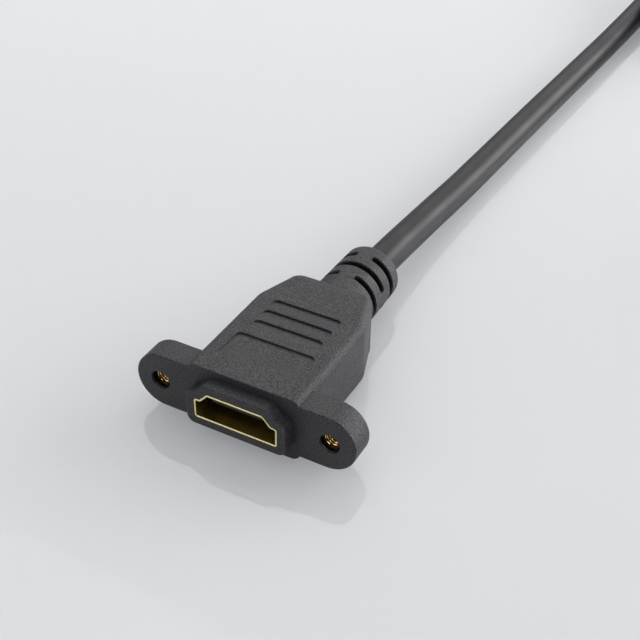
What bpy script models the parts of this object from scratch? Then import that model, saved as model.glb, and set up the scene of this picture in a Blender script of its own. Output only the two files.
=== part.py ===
"""Panel-mount extension cable: a moulded nineteen-contact display socket with two screw ears,
a round cable laid out behind it, and the plug at its far end beside the coiled spare length.

Metres, +Z up, the head standing on z = 0. X runs along the flange and Y from the socket's mouth
towards the cable. The origin is the bottom centre of the head's own box.
"""
import math

import bmesh
import bpy
from mathutils import Matrix, Vector

# Fits
clearance = 0.0003           # gap between pieces that touch on the real object
mould_edge = 0.0003          # small rounding on the moulding's outer edges

# Body of the head
body_width = 0.0199
body_height = 0.0117
body_length = 0.0290
body_rear_width = 0.0146
body_taper_start = 0.0213    # from the front face to where the sides draw in
body_edge_radius = 0.0015
body_corner_radius = 0.0016  # rear corners, seen from above
neck_length = 0.0040
neck_width = 0.0126          # of the neck where it leaves the body

# Screw ears
hole_spacing = 0.0300
hole_diameter = 0.0032
ear_end = 0.0044             # from a hole's middle to the end of its ear
flange_height = 0.0099
flange_thickness = 0.0047
ear_rise = 0.0001            # of the ears' middle above the body's middle

# Threaded inserts
insert_diameter = 0.0046
insert_length = 0.0030
insert_bore = 0.0025
insert_lip = 0.0005          # plastic in front of the insert
insert_groove_depth = 0.0003

# Display socket, its outline given by half of its corners
socket_width = 0.0147
socket_height = 0.0052
socket_rise = 0.0003         # of the socket's middle above the body's middle
socket_wall = 0.00035
socket_length = 0.0115
socket_corner_radius = 0.0005
shoulder_height = 0.00358    # of the straight sides above the wide side
shoulder_inset = 0.00105
shoulder_slope = 0.0001
crown_inset = 0.0024         # from the socket's side to the end of its narrow side
boss_wall = 0.0014
boss_protrusion = 0.0023

# Tongue, contacts and carrier of the socket
tongue_width = 0.0108
tongue_thickness = 0.0010
tongue_recess = 0.0022       # from the mouth to the tongue's tip
carrier_length = 0.0042
contact_count = 19
contact_pitch = 0.0005       # between neighbours, which lie in two rows by turns
contact_width = 0.00042
contact_thickness = 0.0002
contact_setback = 0.0005     # from the tongue's tip to the contacts' tips
contact_tail = 0.0018        # behind the carrier
contact_tip_bevel = 0.0001

# Inner moulds
inner_mould_width = 0.0148
inner_mould_height = 0.0078
inner_mould_length = 0.0145
inner_mould_edge = 0.0008
tail_room = 0.0024           # depth of the pocket for the contact tails
cable_grip = 0.0050          # length of cable held in the inner mould

# Strain relief
relief_front_radius = 0.00545
relief_end_radius = 0.0052
relief_length = 0.0102
relief_edge = 0.0008
relief_drop = 0.00025        # of its axis below the body's middle
relief_core_radius = 0.0037
slot_count = 3
slot_width = 0.00135
slot_pitch = 0.00335
first_slot = 0.0006          # from the neck to the middle of the first slot
side_slot_angles = (20, 160)
top_slot_angles = (-75, 75)

# Grip steps and label panel
grip_count = 3
grip_pitch = 0.00305
grip_last = 0.0206           # wall of the rearmost step, from the front face
grip_width = 0.0124
grip_ramp = 0.0023
grip_depth = 0.00035
grip_corner = 0.0009
label_wall = 0.01045
label_width = 0.0140
label_ramp = 0.0072
label_depth = 0.0003

# Far-end plug
plug_body_width = 0.0202
plug_body_height = 0.0112
plug_body_length = 0.0262
plug_rear_width = 0.0146
plug_taper_start = 0.0180
plug_shell_width = 0.0139
plug_shell_height = 0.00445
plug_shell_wall = 0.0003
plug_shell_reach = 0.0116    # how far the shell stands out of the plug's body
plug_shell_seat = 0.0075     # how far it goes into the body
plug_slot_width = 0.0112
plug_slot_height = 0.0018
plug_slot_depth = 0.0090
plug_contact_count = 19
plug_tip_setback = 0.0010    # from the insulator's face to the contacts' tips
plug_grip_last = 0.0172

# Cable, from the strain relief to the plug: 1.0 m
cable_diameter = 0.0060
route = [                    # middle of the cable from the strain relief to the coil
    (0.0000, 0.0228, 0.0056), (0.0000, 0.0300, 0.0053), (0.0000, 0.0400, 0.0044),
    (0.0002, 0.0500, 0.0037), (0.0006, 0.0600, 0.0032), (0.0010, 0.0700, 0.0030),
    (0.0015, 0.0800, 0.0030), (0.0026, 0.1000, 0.0030), (0.0038, 0.1200, 0.0030),
    (0.0049, 0.1400, 0.0030), (0.0058, 0.1600, 0.0031), (0.0066, 0.1780, 0.0036),
    (0.0069, 0.1935, 0.0041),
]
tail_route = [               # from the coil to the plug
    (0.0779, 0.1935, 0.0103), (0.0779, 0.1850, 0.0099), (0.0780, 0.1750, 0.0086),
    (0.0782, 0.1650, 0.0066), (0.0784, 0.1550, 0.0046), (0.0785, 0.1450, 0.0035),
    (0.0785, 0.1350, 0.0032), (0.0784, 0.1250, 0.0037), (0.0781, 0.1160, 0.0048),
    (0.0779, 0.1085, 0.0053),
]
plug_rear = (0.0779, 0.1050)  # where the cable enters the plug
coil_centre = (0.0424, 0.1935)
coil_outer_turn = 0.0355     # radius at the middle of the outer turns
coil_across = 2              # turns side by side
coil_layers = 2
turn_pitch = 0.0063
coil_corner_radius = 0.0026
strap_thickness = 0.0008
strap_turn = 9.0             # degrees of the coil that a strap covers
strap_corner_radius = 0.0032
strap_angles = (90, 270)

# Fineness of round shapes
corner_steps = 5
side_steps = 4
crown_steps = 8
arc_steps = 4
round_steps = 32
coil_steps = 48

# Sizes that follow from those above
flange_length = hole_spacing + 2 * ear_end
relief_start = body_length + neck_length
head_length = relief_start + relief_length
head_origin = Vector((0.0, -(head_length - boss_protrusion) / 2, body_height / 2))
socket_back = socket_length - boss_protrusion
mould_start = socket_back + clearance
mould_end = mould_start + inner_mould_length
plug_length = plug_body_length + neck_length + relief_length
plug_origin = Vector((plug_rear[0], plug_rear[1] - plug_length, plug_body_height / 2))
cable_radius = cable_diameter / 2
cable_bore = cable_radius + clearance
hidden = 0.002               # how far a cutter or a joined shape runs past a face
coil_base = strap_thickness + clearance


def clear_scene():
    for obj in list(bpy.data.objects):
        bpy.data.objects.remove(obj, do_unlink=True)


def new_collection(name):
    made = bpy.data.collections.new(name)
    bpy.context.scene.collection.children.link(made)
    return made


def new_material(name, colour, roughness, metallic=0.0):
    made = bpy.data.materials.new(name)
    made.use_nodes = True
    shader = made.node_tree.nodes["Principled BSDF"]
    shader.inputs["Base Color"].default_value = (*colour, 1.0)
    shader.inputs["Roughness"].default_value = roughness
    shader.inputs["Metallic"].default_value = metallic
    return made


def add_object(name, mesh, place=None):
    obj = bpy.data.objects.new(name, mesh)
    parts.objects.link(obj)
    if place is not None:
        obj.location = place
    return obj


def finish_mesh(name, bm, place=None):
    bmesh.ops.recalc_face_normals(bm, faces=bm.faces)
    mesh = bpy.data.meshes.new(name)
    bm.to_mesh(mesh)
    bm.free()
    return add_object(name, mesh, place)


def dress(obj, name, look, smooth=False):
    obj.name = name
    obj.data.name = name
    obj.data.materials.clear()
    obj.data.materials.append(look)
    if smooth:
        obj.data.shade_smooth()
        obj.data.set_sharp_from_angle(angle=math.radians(35))
    return obj


def mesh_from_curve(curve_obj, name, place=None):
    """A curve's evaluated shape as one welded mesh object; the curve is removed."""
    graph = bpy.context.evaluated_depsgraph_get()
    mesh = bpy.data.meshes.new_from_object(curve_obj.evaluated_get(graph))
    matrix = curve_obj.matrix_world.copy()
    bpy.data.objects.remove(curve_obj, do_unlink=True)
    bm = bmesh.new()
    bm.from_mesh(mesh)
    bm.transform(matrix)
    bmesh.ops.remove_doubles(bm, verts=bm.verts, dist=1e-6)
    bpy.data.meshes.remove(mesh)
    return finish_mesh(name, bm, place)


def rounded_outline(corners, steps=arc_steps):
    """Points round a closed outline of (x, y, radius) corners, listed anticlockwise."""
    points = []
    count = len(corners)
    for i in range(count):
        here = Vector(corners[i][:2])
        radius = corners[i][2]
        to_last = (Vector(corners[i - 1][:2]) - here).normalized()
        to_next = (Vector(corners[(i + 1) % count][:2]) - here).normalized()
        half = to_last.angle(to_next) / 2
        if radius <= 0 or abs(half - math.pi / 2) < 1e-4:
            points.append(tuple(here))
            continue
        middle = here + (to_last + to_next).normalized() * radius / math.sin(half)
        start = here + to_last * radius / math.tan(half) - middle
        end = here + to_next * radius / math.tan(half) - middle
        first = math.atan2(start.y, start.x)
        turn = math.atan2(start.cross(end), start.dot(end))
        for k in range(steps + 1):
            angle = first + turn * k / steps
            points.append((middle.x + radius * math.cos(angle), middle.y + radius * math.sin(angle)))
    return points


def offset_corners(corners, distance):
    """Move each side of an anticlockwise outline outwards; its corner radii follow."""
    moved = []
    count = len(corners)
    for i in range(count):
        here = Vector(corners[i][:2])
        before = (here - Vector(corners[i - 1][:2])).normalized()
        after = (Vector(corners[(i + 1) % count][:2]) - here).normalized()
        out_before = Vector((before.y, -before.x))
        out_after = Vector((after.y, -after.x))
        mitre = (out_before + out_after) / (1 + out_before.dot(out_after))
        bend = 1 if before.cross(after) > 0 else -1
        radius = corners[i][2] + distance * bend
        moved.append((*(here + mitre * distance), max(radius, 0.0001)))
    return moved


def mirrored(half):
    """A whole outline from its right half, listed upwards."""
    return half + [(-x, y, r) for x, y, r in reversed(half)]


def display_corners(width, height):
    """The display connector's outline, its wide side down, about the middle of its height."""
    side = width / 2
    low = -height / 2
    high = height / 2
    shoulder = low + shoulder_height * height / socket_height
    return mirrored([
        (side, low, socket_corner_radius),
        (side, shoulder, socket_corner_radius * 0.8),
        (side - shoulder_inset, shoulder + shoulder_slope, socket_corner_radius),
        (side - crown_inset, high, socket_corner_radius * 1.2),
    ])


def box_corners(width, height, radius, middle=(0.0, 0.0)):
    x, y = width / 2, height / 2
    signs = ((1, -1), (1, 1), (-1, 1), (-1, -1))
    return [(middle[0] + sx * x, middle[1] + sy * y, radius) for sx, sy in signs]


def outline_solid(name, points, start, end, upright=False, rise=0.0, place=None):
    """A flat outline extruded from start to end, along Y in the outline's XZ plane, or upright
    along Z in its XY plane."""
    curve = bpy.data.curves.new(name, "CURVE")
    curve.dimensions = "2D"
    curve.fill_mode = "BOTH"
    curve.extrude = abs(end - start) / 2
    spline = curve.splines.new("POLY")
    spline.points.add(len(points) - 1)
    for point, (x, y) in zip(spline.points, points):
        point.co = (x, y, 0.0, 1.0)
    spline.use_cyclic_u = True
    made = bpy.data.objects.new(name, curve)
    parts.objects.link(made)
    if upright:
        made.matrix_world = Matrix.Translation((0, 0, (start + end) / 2))
    else:
        turn = Matrix.Rotation(math.radians(90), 4, "X")
        made.matrix_world = Matrix.Translation((0, (start + end) / 2, rise)) @ turn
    bpy.context.view_layer.update()
    return mesh_from_curve(made, name, place)


def band_surface(name, points, start, end, rise=0.0, place=None):
    """The open wall of an outline, from start to end along Y, for Solidify."""
    bm = bmesh.new()
    rings = []
    for y in (start, end):
        rings.append([bm.verts.new((x, y, z + rise)) for x, z in points])
    count = len(points)
    for i in range(count):
        j = (i + 1) % count
        bm.faces.new((rings[0][i], rings[0][j], rings[1][j], rings[1][i]))
    return finish_mesh(name, bm, place)


def box(name, low, high, place=None):
    bm = bmesh.new()
    bmesh.ops.create_cube(bm, size=1.0)
    low, high = Vector(low), Vector(high)
    bmesh.ops.scale(bm, vec=high - low, verts=bm.verts)
    bmesh.ops.translate(bm, vec=(low + high) / 2, verts=bm.verts)
    return finish_mesh(name, bm, place)


def rod(name, radius, start, end, x=0.0, z=0.0, place=None):
    """A cylinder along Y."""
    bm = bmesh.new()
    bmesh.ops.create_cone(bm, cap_ends=True, segments=round_steps, radius1=radius, radius2=radius,
                          depth=end - start)
    turn = Matrix.Rotation(math.radians(90), 4, "X")
    bmesh.ops.transform(bm, matrix=Matrix.Translation((x, (start + end) / 2, z)) @ turn, verts=bm.verts)
    return finish_mesh(name, bm, place)


def loft(name, sections, place=None):
    """A closed skin through sections that have as many points each."""
    bm = bmesh.new()
    rings = [[bm.verts.new(point) for point in section] for section in sections]
    count = len(rings[0])
    for first, second in zip(rings, rings[1:]):
        for i in range(count):
            j = (i + 1) % count
            bm.faces.new((first[i], first[j], second[j], second[i]))
    bm.faces.new(list(reversed(rings[0])))
    bm.faces.new(rings[-1])
    return finish_mesh(name, bm, place)


def box_section(y, half_width, half_height, radius, rise=0.0):
    """A rounded rectangle across Y, with the same number of points as round_section."""
    points = []
    flats = (side_steps, crown_steps, side_steps, crown_steps)
    centres = ((1, 1), (-1, 1), (-1, -1), (1, -1))
    for quarter in range(4):
        sx, sz = centres[quarter]
        middle = Vector((sx * (half_width - radius), sz * (half_height - radius)))
        for k in range(corner_steps + 1):
            angle = math.radians(90 * (quarter + k / corner_steps))
            points.append(middle + radius * Vector((math.cos(angle), math.sin(angle))))
        nx, nz = centres[(quarter + 1) % 4]
        following = Vector((nx * (half_width - radius), nz * (half_height - radius)))
        turn = math.radians(90 * (quarter + 1))
        following += radius * Vector((math.cos(turn), math.sin(turn)))
        steps = flats[(quarter + 1) % 4]
        last = points[-1]
        for k in range(1, steps):
            points.append(last.lerp(following, k / steps))
    return [(point.x, y, point.y + rise) for point in points]


def round_section(y, radius, rise=0.0):
    """A circle across Y whose points pair with those of box_section."""
    count = 4 * corner_steps + 2 * side_steps + 2 * crown_steps
    first = math.radians(360 * side_steps / 2 / count)
    points = []
    for k in range(count):
        angle = first + math.radians(360 * k / count)
        points.append((radius * math.cos(angle), y, radius * math.sin(angle) + rise))
    return points


def moulding_skin(name, width, height, length, rear_width, taper_start, place):
    """Body, neck and strain relief of a moulding as one skin, front face at y = 0."""
    half = width / 2
    tall = height / 2
    rear = rear_width / 2
    corner_start = length - body_corner_radius
    taper = (half - rear) / (length - taper_start)

    def width_at(y):
        return half - max(0.0, y - taper_start) * taper

    sections = [box_section(0.0, half, tall, body_edge_radius)]
    sections.append(box_section(taper_start - mould_edge * 2, half, tall, body_edge_radius))
    sections.append(box_section(taper_start + mould_edge * 2, width_at(taper_start + mould_edge * 2),
                                tall, body_edge_radius))
    sections.append(box_section(corner_start, width_at(corner_start), tall, body_edge_radius))
    for k in range(1, arc_steps):
        angle = math.radians(90 * k / arc_steps)
        y = corner_start + body_corner_radius * math.sin(angle) - mould_edge * k / arc_steps
        drawn_in = (width_at(corner_start) - neck_width / 2) * (1 - math.cos(angle))
        sections.append(box_section(y, width_at(corner_start) - drawn_in, tall, body_edge_radius))
    sections.append(box_section(length, neck_width / 2, tall - mould_edge, body_edge_radius))
    start = length + neck_length
    end = start + relief_length
    sections.append(round_section(start, relief_front_radius, -relief_drop))
    sections.append(round_section(end - relief_edge, relief_end_radius, -relief_drop))
    for k in range(1, arc_steps):
        angle = math.radians(90 * k / arc_steps)
        radius = relief_end_radius - relief_edge * (1 - math.cos(angle))
        y = end - relief_edge + relief_edge * math.sin(angle)
        sections.append(round_section(y, radius, -relief_drop))
    sections.append(round_section(end, relief_end_radius - relief_edge, -relief_drop))
    return loft(name, sections, place)


def as_cutter(obj):
    for old in list(obj.users_collection):
        old.objects.unlink(obj)
    cutters.objects.link(obj)
    obj.hide_render = True
    obj.display_type = "WIRE"
    return obj


def apply_boolean(target, tool, operation):
    step = target.modifiers.new(tool.name, "BOOLEAN")
    step.operation = operation
    step.solver = "EXACT"
    step.object = as_cutter(tool)


def cut(target, *tools):
    for tool in tools:
        apply_boolean(target, tool, "DIFFERENCE")


def join(target, *tools):
    for tool in tools:
        apply_boolean(target, tool, "UNION")


def step_cutter(name, wall, ramp, width, depth, top, side, place):
    """A recess that deepens towards the cable and ends at a wall; side is 1 above, -1 below."""
    corners = [
        (width / 2, wall - ramp, 0.0), (width / 2, wall, grip_corner),
        (-width / 2, wall, grip_corner), (-width / 2, wall - ramp, 0.0),
    ]
    tool = outline_solid(name, rounded_outline(corners), top - depth, top + hidden, upright=True,
                         place=place)
    above = depth * 0.1
    for vertex in tool.data.vertices:
        if vertex.co.z < top:
            part_way = (vertex.co.y - wall + ramp) / ramp
            vertex.co.z = top + above - (depth + above) * part_way
    if side < 0:
        tool.rotation_euler = (0.0, math.radians(180), 0.0)
    return tool


def ring_cutter(name, y, inner, outer, width, angles, rise, place):
    """A slot round the strain relief between two angles, measured from its top towards +X."""
    bm = bmesh.new()
    first = math.radians(angles[0])
    corners = ((inner, -width / 2), (outer, -width / 2), (outer, width / 2), (inner, width / 2))
    face_points = [
        bm.verts.new((r * math.sin(first), y + along, r * math.cos(first) + rise)) for r, along in corners
    ]
    face = bm.faces.new(face_points)
    steps = max(4, round(abs(angles[1] - angles[0]) / 14))
    bmesh.ops.spin(bm, geom=[face], cent=(0, y, rise), axis=(0, 1, 0),
                   angle=math.radians(angles[1] - angles[0]), steps=steps, use_merge=False)
    return finish_mesh(name, bm, place)


def relief_slots(name, start, place):
    """Slots by turns at the sides and above and below."""
    tools = []
    outer = relief_front_radius + hidden
    for row in range(slot_count):
        y = start + first_slot + slot_pitch * row
        angles = side_slot_angles if row % 2 == 0 else top_slot_angles
        for half_turn in (0, 180):
            turned = tuple(angle + half_turn for angle in angles)
            label = f"{name}_slot_{row}_{half_turn}"
            tools.append(ring_cutter(label, y, relief_core_radius, outer, slot_width, turned,
                                     -relief_drop, place))
    return tools


def grip_steps(name, last_wall, height, place):
    tools = []
    for side in (1, -1):
        for k in range(grip_count):
            label = f"{name}_grip_{side}_{k}"
            tools.append(step_cutter(label, last_wall - grip_pitch * k, grip_ramp, grip_width,
                                     grip_depth, height / 2, side, place))
    return tools


def inner_mould_room(name, start, length, rise, place):
    """The pocket that an inner mould leaves in the moulding over it."""
    corners = box_corners(inner_mould_width + 2 * clearance, inner_mould_height + 2 * clearance,
                          inner_mould_edge)
    return outline_solid(name, rounded_outline(corners), start - clearance, start + length + clearance,
                         rise=rise, place=place)


def make_overmould():
    body = moulding_skin("overmould", body_width, body_height, body_length, body_rear_width,
                         body_taper_start, head_origin)
    ear_corners = box_corners(flange_length, flange_height, flange_height / 2 * 0.995)
    ears = outline_solid("ears", rounded_outline(ear_corners, 10), 0.0, flange_thickness,
                         rise=ear_rise, place=head_origin)
    boss_corners = offset_corners(display_corners(socket_width, socket_height), boss_wall)
    boss = outline_solid("boss", rounded_outline(boss_corners), -boss_protrusion, hidden,
                         rise=socket_rise, place=head_origin)
    join(body, ears, boss)
    mouth_corners = offset_corners(display_corners(socket_width, socket_height), clearance)
    mouth = outline_solid("socket_room", rounded_outline(mouth_corners), -boss_protrusion - hidden,
                          mould_start, rise=socket_rise, place=head_origin)
    room = inner_mould_room("inner_mould_room", mould_start, inner_mould_length, socket_rise, head_origin)
    bore = rod("cable_room", cable_bore, mould_end - hidden, head_length + hidden, z=-relief_drop,
               place=head_origin)
    cut(body, mouth, room, bore)
    cut(body, *insert_rooms())
    cut(body, *relief_slots("head", relief_start, head_origin))
    cut(body, *grip_steps("head", grip_last, body_height, head_origin))
    cut(body, step_cutter("label", label_wall, label_ramp, label_width, label_depth, body_height / 2, 1,
                          head_origin))
    dress(body, "overmould", black_pvc, smooth=True)


def insert_rooms():
    tools = []
    for side in (-1, 1):
        x = side * hole_spacing / 2
        tools.append(rod(f"hole_{side}", hole_diameter / 2, -hidden, flange_thickness + hidden, x, ear_rise,
                         head_origin))
        tools.append(rod(f"insert_room_{side}", insert_diameter / 2 + clearance, insert_lip,
                         insert_lip + insert_length + 2 * clearance, x, ear_rise, head_origin))
    return tools


def make_insert(name, x):
    """A turned brass bush with a groove that the moulding grips."""
    outer = insert_diameter / 2
    waist = outer - insert_groove_depth
    bore = insert_bore / 2
    third = insert_length / 3
    profile = [
        (bore, 0.0), (outer, 0.0), (outer, third), (waist, third), (waist, 2 * third), (outer, 2 * third),
        (outer, insert_length), (bore, insert_length),
    ]
    bush = turned(name, profile)
    start = insert_lip + clearance
    bush.matrix_world = (Matrix.Translation(head_origin + Vector((x, start, ear_rise)))
                         @ Matrix.Rotation(math.radians(-90), 4, "X"))
    dress(bush, name, brass, smooth=True)


def turned(name, profile, steps=round_steps, angle=360.0):
    """A closed profile of (radius, height) points, anticlockwise, turned about Z."""
    bm = bmesh.new()
    verts = [bm.verts.new((radius, 0.0, height)) for radius, height in reversed(profile)]
    for first, second in zip(verts, verts[1:]):
        bm.edges.new((first, second))
    bm.edges.new((verts[-1], verts[0]))
    mesh = bpy.data.meshes.new(name)
    bm.to_mesh(mesh)
    bm.free()
    obj = add_object(name, mesh)
    screw = obj.modifiers.new("turn", "SCREW")
    screw.axis = "Z"
    screw.angle = math.radians(angle)
    screw.steps = steps
    screw.render_steps = steps
    screw.use_merge_vertices = angle == 360.0
    screw.merge_threshold = 1e-6
    return obj


def make_shell(name, width, height, wall, start, end, rise, place):
    """The folded shell: the display outline as a wall."""
    points = rounded_outline(display_corners(width, height))
    shell = band_surface(name, points, start, end, rise, place)
    skin = shell.modifiers.new("wall", "SOLIDIFY")
    skin.thickness = wall
    skin.offset = -1.0
    skin.use_even_offset = True
    dress(shell, name, gold, smooth=True)
    return shell


def contact_places(count):
    """X and row of each contact: odd ones lie on the wide side, even ones on the narrow side."""
    places = []
    for index in range(count):
        x = (index - (count - 1) / 2) * contact_pitch
        row = -1 if index % 2 == 0 else 1
        places.append((x, row))
    return places


def make_contact(name, x, low, start, end, place):
    """A flat strip with a chamfered tip; low is the underside's height."""
    half = contact_width / 2
    strip = box(name, (x - half, start, low), (x + half, end, low + contact_thickness), place)
    bm = bmesh.new()
    bm.from_mesh(strip.data)
    tips = []
    for edge in bm.edges:
        first, second = edge.verts
        at_tip = abs(first.co.y - start) < 1e-7 and abs(second.co.y - start) < 1e-7
        if at_tip and abs(first.co.x - second.co.x) > 1e-7:
            tips.append(edge)
    bmesh.ops.bevel(bm, geom=tips, offset=contact_tip_bevel / 2, segments=1, affect="EDGES", profile=0.5)
    bm.to_mesh(strip.data)
    bm.free()
    dress(strip, name, contact_gold)


def row_height(row, thickness, gap):
    """Underside of a contact that lies beside a web of this thickness."""
    if row > 0:
        return thickness / 2 + gap
    return -thickness / 2 - gap - contact_thickness


def make_carrier():
    """The tongue and the block behind it that closes the shell."""
    tip = -boss_protrusion + tongue_recess
    back = socket_back
    front = back - carrier_length
    plug_corners = offset_corners(display_corners(socket_width, socket_height), -socket_wall - clearance)
    carrier = outline_solid("contact_carrier", rounded_outline(plug_corners), front, back,
                            rise=socket_rise, place=head_origin)
    half = tongue_thickness / 2
    tongue = box("tongue", (-tongue_width / 2, tip, socket_rise - half),
                 (tongue_width / 2, front + hidden / 2, socket_rise + half), head_origin)
    join(carrier, tongue)
    row_width = (contact_count - 1) * contact_pitch + contact_width + 2 * clearance
    for row in (-1, 1):
        low = socket_rise + row_height(row, tongue_thickness, clearance)
        channel = box(f"contact_channel_{row}", (-row_width / 2, front - hidden, low - clearance),
                      (row_width / 2, back + hidden, low + contact_thickness + clearance), head_origin)
        cut(carrier, channel)
    dress(carrier, "contact_carrier", black_plastic)


def make_contacts():
    tip = -boss_protrusion + tongue_recess + contact_setback
    end = socket_back + contact_tail
    for index, (x, row) in enumerate(contact_places(contact_count), start=1):
        low = socket_rise + row_height(row, tongue_thickness, clearance)
        make_contact(f"socket_contact_{index:02d}", x, low, tip, end, head_origin)


def make_inner_mould(name, start, rise, cable_rise, place):
    """The block that holds the contact tails in front and the cable's end behind."""
    corners = box_corners(inner_mould_width, inner_mould_height, inner_mould_edge)
    block = outline_solid(name, rounded_outline(corners), start, start + inner_mould_length, rise=rise,
                          place=place)
    tall = tongue_thickness / 2 + contact_thickness + 2 * clearance
    wide = (contact_count - 1) * contact_pitch / 2 + contact_width + 2 * clearance
    pocket = box(f"{name}_tail_room", (-wide, start - hidden, rise - tall),
                 (wide, start + tail_room, rise + tall), place)
    end = start + inner_mould_length
    bore = rod(f"{name}_cable_room", cable_bore, end - cable_grip, end + hidden, z=cable_rise, place=place)
    cut(block, pocket, bore)
    dress(block, name, milky_plastic)


def make_head():
    make_overmould()
    make_insert("insert_left", -hole_spacing / 2)
    make_insert("insert_right", hole_spacing / 2)
    make_shell("socket_shell", socket_width, socket_height, socket_wall, -boss_protrusion, socket_back,
               socket_rise, head_origin)
    make_carrier()
    make_contacts()
    make_inner_mould("socket_inner_mould", mould_start, socket_rise, -relief_drop, head_origin)


def make_plug_insulator():
    """The block inside the plug's shell, with the slot that takes a tongue."""
    corners = offset_corners(display_corners(plug_shell_width, plug_shell_height),
                             -plug_shell_wall - clearance)
    front = -plug_shell_reach + clearance
    back = plug_shell_seat
    block = outline_solid("plug_insulator", rounded_outline(corners), front, back, place=plug_origin)
    wide = plug_slot_width / 2
    row = (plug_contact_count - 1) * contact_pitch / 2 + contact_width / 2 + clearance
    step = front + plug_slot_depth
    half = [(row, back + hidden, 0.0), (row, step, 0.0), (wide, step, 0.0), (wide, front - hidden, 0.0)]
    points = rounded_outline(mirrored(list(reversed(half))))
    tongue_slot = outline_solid("tongue_slot", points, -plug_slot_height / 2, plug_slot_height / 2,
                                upright=True, place=plug_origin)
    cut(block, tongue_slot)
    dress(block, "plug_insulator", black_plastic)


def make_plug_contacts():
    start = -plug_shell_reach + clearance + plug_tip_setback
    end = plug_shell_seat + contact_tail
    room = plug_slot_height - 2 * clearance - 2 * contact_thickness
    for index, (x, row) in enumerate(contact_places(plug_contact_count), start=1):
        low = row_height(row, room, 0.0)
        make_contact(f"plug_contact_{index:02d}", x, low, start, end, plug_origin)


def make_plug_overmould():
    body = moulding_skin("plug_overmould", plug_body_width, plug_body_height, plug_body_length,
                         plug_rear_width, plug_taper_start, plug_origin)
    start = plug_shell_seat + clearance
    mouth_corners = offset_corners(display_corners(plug_shell_width, plug_shell_height), clearance)
    mouth = outline_solid("plug_shell_room", rounded_outline(mouth_corners), -hidden, start,
                          place=plug_origin)
    room = inner_mould_room("plug_inner_mould_room", start, inner_mould_length, 0.0, plug_origin)
    bore = rod("plug_cable_room", cable_bore, start + inner_mould_length - hidden, plug_length + hidden,
               z=-relief_drop, place=plug_origin)
    cut(body, mouth, room, bore)
    cut(body, *relief_slots("plug", plug_body_length + neck_length, plug_origin))
    cut(body, *grip_steps("plug", plug_grip_last, plug_body_height, plug_origin))
    dress(body, "plug_overmould", black_pvc, smooth=True)


def make_plug():
    make_plug_overmould()
    make_shell("plug_shell", plug_shell_width, plug_shell_height, plug_shell_wall, -plug_shell_reach,
               plug_shell_seat, 0.0, plug_origin)
    make_plug_insulator()
    make_plug_contacts()
    make_inner_mould("plug_inner_mould", plug_shell_seat + clearance, 0.0, -relief_drop, plug_origin)


def smooth_path(points, spacing):
    """Points at equal steps on a smooth curve through the route's own points."""
    knots = [Vector(point) for point in points]
    dense = []
    for i in range(len(knots) - 1):
        before = knots[max(i - 1, 0)]
        here, there = knots[i], knots[i + 1]
        after = knots[min(i + 2, len(knots) - 1)]
        for k in range(20):
            t = k / 20
            dense.append(0.5 * ((2 * here) + (there - before) * t
                                + (2 * before - 5 * here + 4 * there - after) * t * t
                                + (3 * here - before - 3 * there + after) * t ** 3))
    dense.append(knots[-1])
    total = sum((b - a).length for a, b in zip(dense, dense[1:]))
    count = max(2, round(total / spacing))
    path = [dense[0]]
    walked = 0.0
    for a, b in zip(dense, dense[1:]):
        step = (b - a).length
        while len(path) < count and walked + step >= len(path) * total / count:
            need = len(path) * total / count - walked
            path.append(a.lerp(b, need / step))
        walked += step
    path.append(dense[-1])
    return path


def make_tube(name, points):
    curve = bpy.data.curves.new(name, "CURVE")
    curve.dimensions = "3D"
    curve.bevel_depth = cable_radius
    curve.bevel_resolution = 3
    curve.use_fill_caps = True
    spline = curve.splines.new("POLY")
    spline.points.add(len(points) - 1)
    for point, co in zip(spline.points, points):
        point.co = (*co, 1.0)
    tube = bpy.data.objects.new(name, curve)
    parts.objects.link(tube)
    dress(tube, name, cable_pvc)


def clear_of_coil(point):
    """Whether a tube that ends here, running along Y, keeps the clearance to the coil's side."""
    beside = abs(point.x - coil_centre[0]) - cable_radius
    return math.hypot(beside, point.y - coil_centre[1]) > coil_outer_turn + cable_radius + clearance


def up_to_coil(points, stride):
    """Every few points of a path, and its last point that is still clear of the coil."""
    last = 0
    while clear_of_coil(points[last + 1]):
        last += 1
    inside, outside = points[last + 1], points[last]
    for _ in range(20):
        between = inside.lerp(outside, 0.5)
        if clear_of_coil(between):
            outside = between
        else:
            inside = between
    return points[:last + 1 - stride // 2:stride] + [outside]


def make_cable():
    stride = 4
    spacing = 2.2 * cable_diameter / stride
    inside = head_origin + Vector((0.0, mould_end - cable_grip + clearance, -relief_drop))
    leads_out = [tuple(inside), tuple(inside.lerp(Vector(route[0]), 0.5))]
    run = smooth_path(leads_out + route, spacing)
    make_tube("cable_run", up_to_coil(run, stride))
    plug_grip_end = plug_shell_seat + inner_mould_length - cable_grip + 2 * clearance
    plug_inside = plug_origin + Vector((0.0, plug_grip_end, -relief_drop))
    plug_mouth = plug_origin + Vector((0.0, plug_length, -relief_drop))
    leads_in = [tuple(plug_inside), tuple(plug_inside.lerp(plug_mouth, 0.5)), tuple(plug_mouth)]
    tail = smooth_path(leads_in + list(reversed(tail_route)), spacing)
    make_tube("cable_tail", up_to_coil(tail, stride))


def coil_profile(grow, radius):
    """Outline of the coil's section as (radius, height) points, grown outwards by grow."""
    wide = turn_pitch * (coil_across - 1) + cable_diameter
    tall = turn_pitch * (coil_layers - 1) + cable_diameter
    middle = coil_outer_turn + cable_radius - wide / 2
    corners = box_corners(wide + 2 * grow, tall + 2 * grow, radius, (middle, coil_base + tall / 2))
    return rounded_outline(corners, 3)


def make_coil():
    ring = turned("cable_coil", coil_profile(0.0, coil_corner_radius), coil_steps)
    ring.location = (*coil_centre, 0.0)
    dress(ring, "cable_coil", cable_pvc, smooth=True)


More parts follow.
